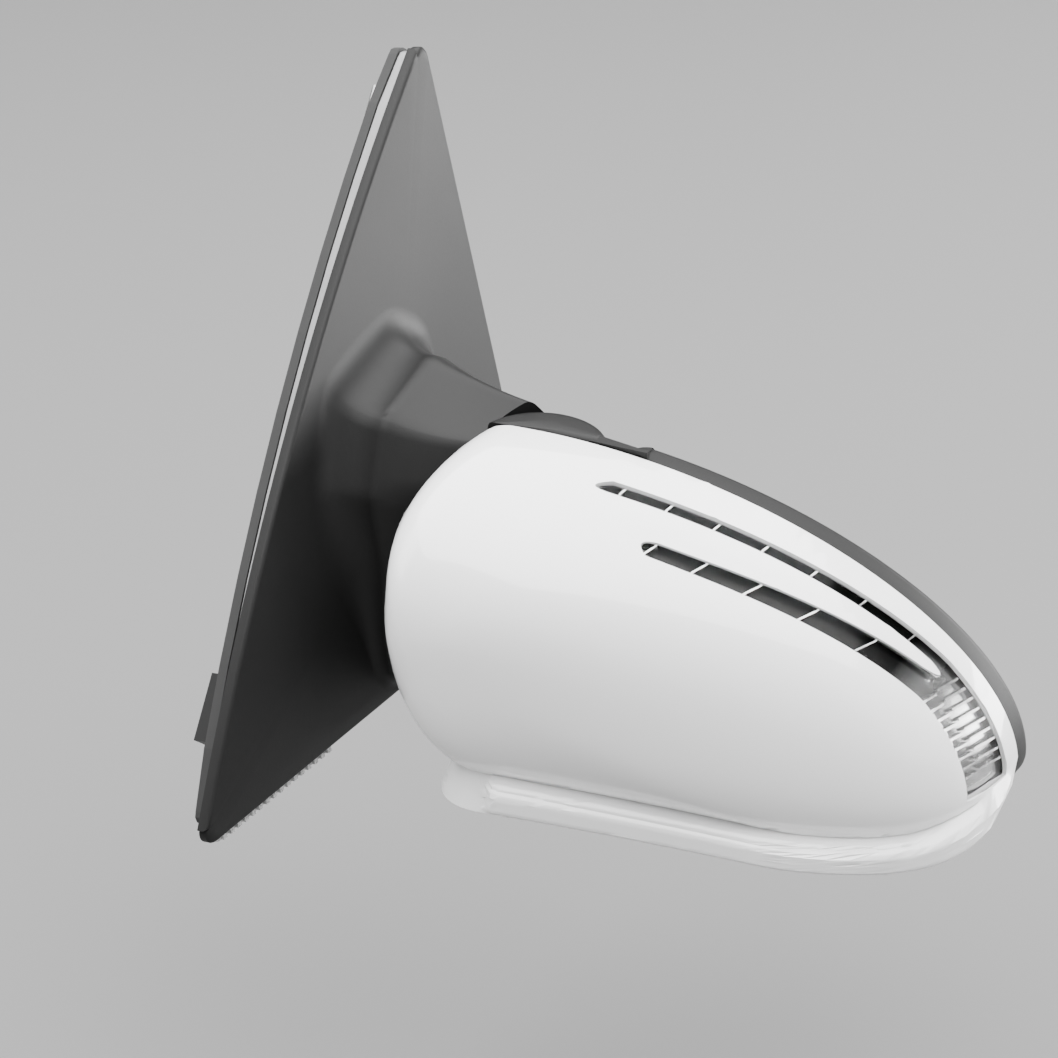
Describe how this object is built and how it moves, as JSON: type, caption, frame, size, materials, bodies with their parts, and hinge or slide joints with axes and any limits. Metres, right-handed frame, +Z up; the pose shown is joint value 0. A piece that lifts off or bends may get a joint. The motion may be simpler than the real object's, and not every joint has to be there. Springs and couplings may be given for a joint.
{
  "type": "car side mirror",
  "caption": "Left-hand powered folding car door mirror with triangular base, white painted cap, forked turn signal lens, black glass surround and heated tilting glass",
  "frame": {"origin": "on the flat pad that meets the door, near the middle of the triangular base", "axes": "+X points away from the door, +Y to the rear of the car (the glass faces that way), +Z up"},
  "size_m": [0.3141, 0.2295, 0.2421],
  "materials": {
    "white_paint": "gloss paint over plastic",
    "satin_black": "satin, fine grain",
    "grey_plastic": "matte",
    "cast_metal": "cast",
    "steel": "plated",
    "brass": "machined",
    "rubber": "matte",
    "grey_foam": "foam",
    "clear_lens": "clear moulding",
    "chrome": "metallised",
    "circuit_board": "coated board",
    "drive_plastic": "natural nylon",
    "heater_film": "printed film",
    "mirror": "silvered glass"
  },
  "bodies": {
    "base": {"sail_cover": "satin_black", "base_bracket": "cast_metal", "door_gasket": "rubber", "foam_strip": "grey_foam", "connector_socket": "satin_black", "thread_insert_1": "brass", "thread_insert_2": "brass", "thread_insert_3": "brass", "cover_screw_1": "steel", "cover_screw_2": "steel", "cover_screw_3": "steel", "pivot_post": "steel", "detent_ring": "steel", "clutch_gear": "brass", "fold_spring": "steel", "spring_retainer": "steel", "cable_grommet": "rubber", "spring_clip": "steel", "locating_peg": "satin_black"},
    "housing": {"painted_cap": "white_paint", "signal_lens": "clear_lens", "signal_reflector": "chrome", "signal_board": "circuit_board", "bezel": "satin_black", "inboard_shell": "satin_black", "bottom_shell": "grey_plastic", "housing_frame": "grey_plastic", "puddle_lamp_lens": "clear_lens", "puddle_lamp_housing": "grey_plastic", "fold_motor": "steel", "fold_drive_case": "drive_plastic", "actuator_case": "drive_plastic", "actuator_cover": "drive_plastic", "tilt_motor_1": "steel", "tilt_motor_2": "steel", "frame_screw_1": "steel", "frame_screw_2": "steel", "frame_screw_3": "steel"},
    "fold_worm": {"fold_worm": "steel"},
    "gimbal": {"gimbal_ring": "steel"},
    "glass": {"glass_carrier": "grey_plastic", "heater_pad": "heater_film", "mirror_glass": "mirror"},
    "jackscrew_1": {"jackscrew_1": "brass"},
    "jackscrew_2": {"jackscrew_2": "brass"},
    "nut_gear_1": {"nut_gear_1": "drive_plastic"},
    "nut_gear_2": {"nut_gear_2": "drive_plastic"}
  },
  "joints": [
    {"name": "fold", "type": "hinge", "parent": "base", "child": "housing", "pos_m": [0.085, 0.004, 0], "axis": [0, 0, 1], "range_deg": [-15, 56]},
    {"name": "worm_spin", "type": "hinge", "parent": "housing", "child": "fold_worm", "pos_m": [0.085, -0.016, -0.031], "axis": [1, 0, 0], "range_deg": [-451, 1681]},
    {"name": "tilt_side", "type": "hinge", "parent": "housing", "child": "gimbal", "pos_m": [0.17584, 0.02238, -0.016], "axis": [0, 0, 1], "range_deg": [-8, 8]},
    {"name": "tilt_up", "type": "hinge", "parent": "gimbal", "child": "glass", "pos_m": [0.17584, 0.02238, -0.016], "axis": [0.9806, 0.1961, 0], "range_deg": [-8, 8]},
    {"name": "jack_1_slide", "type": "slide", "parent": "housing", "child": "jackscrew_1", "axis": [-0.1961, 0.9806, 0], "range_m": [-0.0027, 0.0027]},
    {"name": "jack_2_slide", "type": "slide", "parent": "housing", "child": "jackscrew_2", "axis": [-0.1961, 0.9806, 0], "range_m": [-0.0027, 0.0027]},
    {"name": "nut_1_spin", "type": "hinge", "parent": "housing", "child": "nut_gear_1", "pos_m": [0.19771, 0.00993, -0.016], "axis": [-0.1961, 0.9806, 0], "range_deg": [-479, 479]},
    {"name": "nut_2_spin", "type": "hinge", "parent": "housing", "child": "nut_gear_2", "pos_m": [0.17908, 0.0062, -0.035], "axis": [-0.1961, 0.9806, 0], "range_deg": [-479, 479]}
  ],
  "couplings": [
    {"joint": "worm_spin", "follows": "fold", "ratio": 30},
    {"joint": "jack_1_slide", "follows": "tilt_side", "m_per_rad": 0.019},
    {"joint": "nut_1_spin", "follows": "tilt_side", "ratio": 59.69},
    {"joint": "jack_2_slide", "follows": "tilt_up", "m_per_rad": 0.019},
    {"joint": "nut_2_spin", "follows": "tilt_up", "ratio": 59.69}
  ]
}
